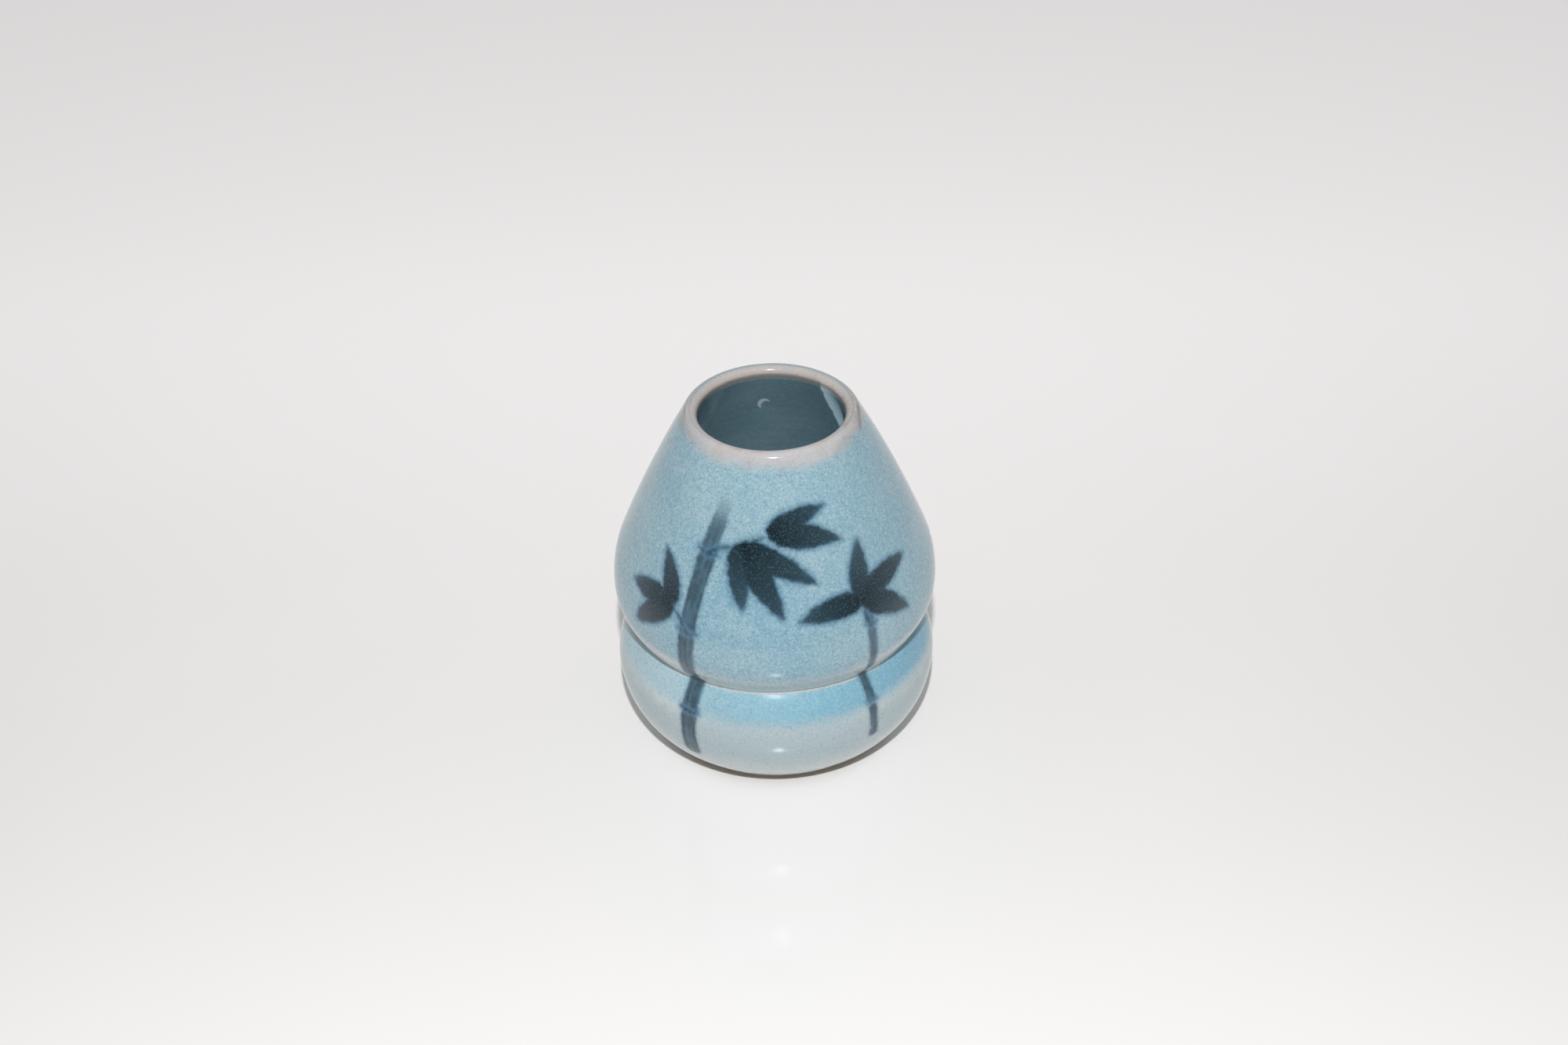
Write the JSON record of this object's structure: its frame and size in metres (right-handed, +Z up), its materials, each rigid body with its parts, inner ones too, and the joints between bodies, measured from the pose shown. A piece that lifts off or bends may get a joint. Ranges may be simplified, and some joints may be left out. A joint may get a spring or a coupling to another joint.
{
  "type": "matcha whisk holder",
  "caption": "Small glazed stoneware pot that a bamboo tea whisk dries on: round mouth, wide belly, pinched waist, swelling base and trimmed foot ring.",
  "frame": {"origin": "centre of the foot ring's standing face", "axes": "+Z up along the pot's turning axis"},
  "size_m": [0.066, 0.066, 0.075],
  "materials": {
    "bare_stoneware": "bare fired clay with fine turning lines",
    "outer_glaze": "glossy pale blue glaze with blue-black brushwork under it",
    "inner_glaze": "glossy blue-grey glaze"
  },
  "bodies": {
    "root": {"stoneware_body": "bare_stoneware", "outer_glaze": "outer_glaze", "inner_glaze": "inner_glaze"}
  },
  "joints": []
}
